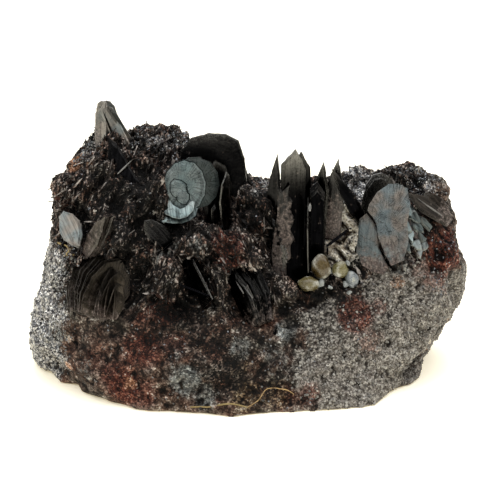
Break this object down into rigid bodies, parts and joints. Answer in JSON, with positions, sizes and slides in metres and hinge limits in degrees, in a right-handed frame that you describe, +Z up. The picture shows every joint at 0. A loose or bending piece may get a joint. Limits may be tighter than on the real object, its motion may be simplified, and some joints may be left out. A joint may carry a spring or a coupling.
{
  "type": "hematite mineral specimen",
  "caption": "Rough iron-rich quartz matrix bearing bladed hematite: a rosette, books and fans of plates, tall blades and amber quartz grains.",
  "frame": {"origin": "middle of the flat that the specimen rests on", "axes": "+Z up, +X along its length, -Y to the side where the crystals show"},
  "size_m": [0.0753, 0.0443, 0.0467],
  "materials": {
    "rock": "rough, broken, iron-stained, with glittering specularite and sugary quartz",
    "bright_hematite": "mirror-bright black metallic crystal faces with fine growth lines",
    "satin_hematite": "satin steel-grey metallic crystal faces with growth terraces",
    "amber_quartz": "cloudy, waxy, iron-stained quartz",
    "white_quartz": "milky bluish quartz"
  },
  "bodies": {
    "root": {"matrix": "rock", "dome_plate": "bright_hematite", "recess_plates": "bright_hematite", "edge_plate": "bright_hematite", "horn_plate": "bright_hematite", "ridge_blades": "bright_hematite", "plate_book": "bright_hematite", "tilted_plate": "bright_hematite", "cavity_blade": "bright_hematite", "fan_sheaf": "bright_hematite", "tall_blades": "bright_hematite", "edge_blade": "bright_hematite", "right_blade": "bright_hematite", "slim_blade": "bright_hematite", "pointed_blades": "bright_hematite", "back_plate": "bright_hematite", "rim_plates": "bright_hematite", "horn_blades": "satin_hematite", "rosette": "satin_hematite", "left_scale": "satin_hematite", "shield_plates": "satin_hematite", "step_plates": "satin_hematite", "amber_quartz_1": "amber_quartz", "amber_quartz_2": "amber_quartz", "amber_quartz_3": "amber_quartz", "white_quartz": "white_quartz"}
  },
  "joints": []
}
